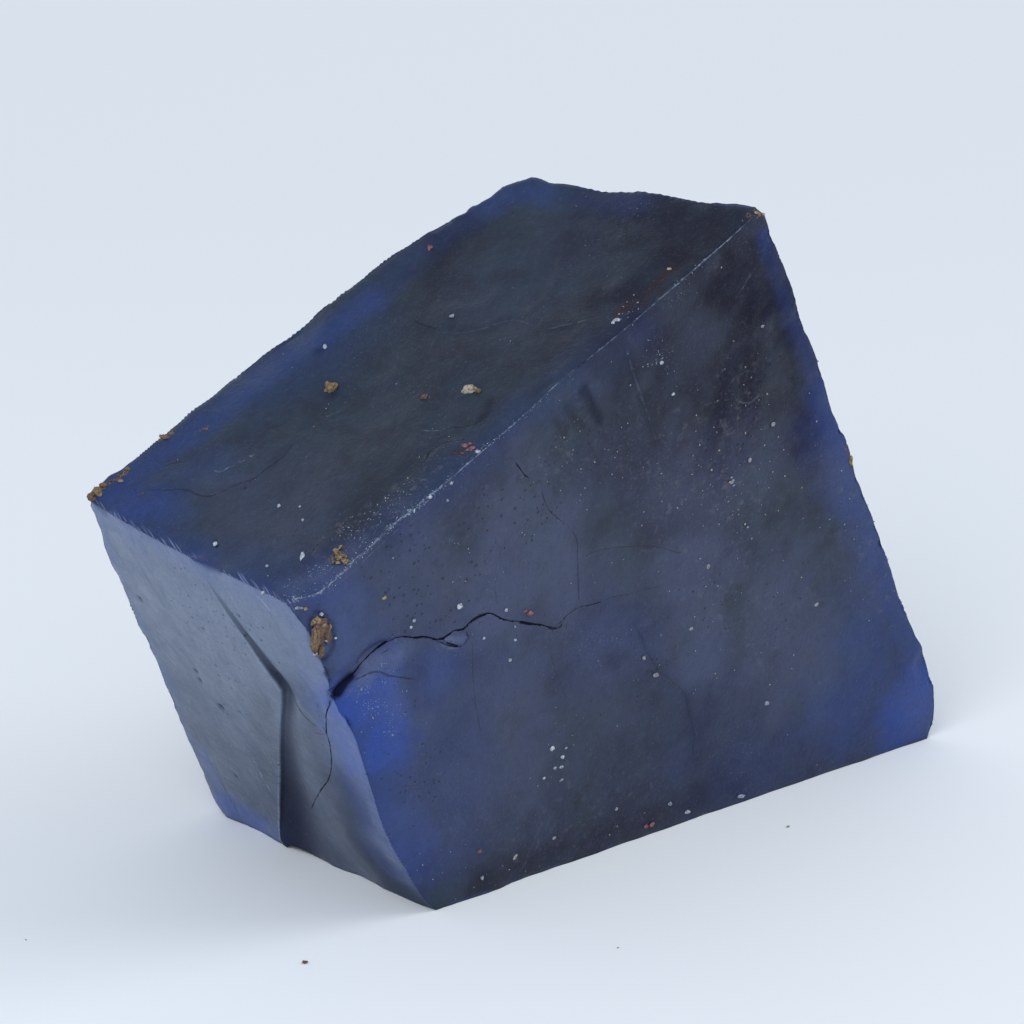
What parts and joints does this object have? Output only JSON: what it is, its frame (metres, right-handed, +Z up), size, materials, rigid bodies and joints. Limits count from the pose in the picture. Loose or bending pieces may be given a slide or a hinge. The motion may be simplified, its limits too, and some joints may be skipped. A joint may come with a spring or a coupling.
{
  "type": "rough tanzanite",
  "caption": "Solid block of rough deep blue tanzanite with sawn and broken faces, open cracks and one flat base, for display, still life or gem-cutting scenes.",
  "frame": {"origin": "centre of the stone's box, on the flat base that it rests on", "axes": "+Z up, away from the flat base; +X along the long front side, from the low overhanging near end to the tall far end; +Y from the front side to the back side"},
  "size_m": [0.0492, 0.0206, 0.0376],
  "materials": {
    "tanzanite": "matt to silky sawn and fractured surface, dark slate blue with brighter cobalt along its edges"
  },
  "bodies": {
    "root": {"tanzanite": "tanzanite"}
  },
  "joints": []
}
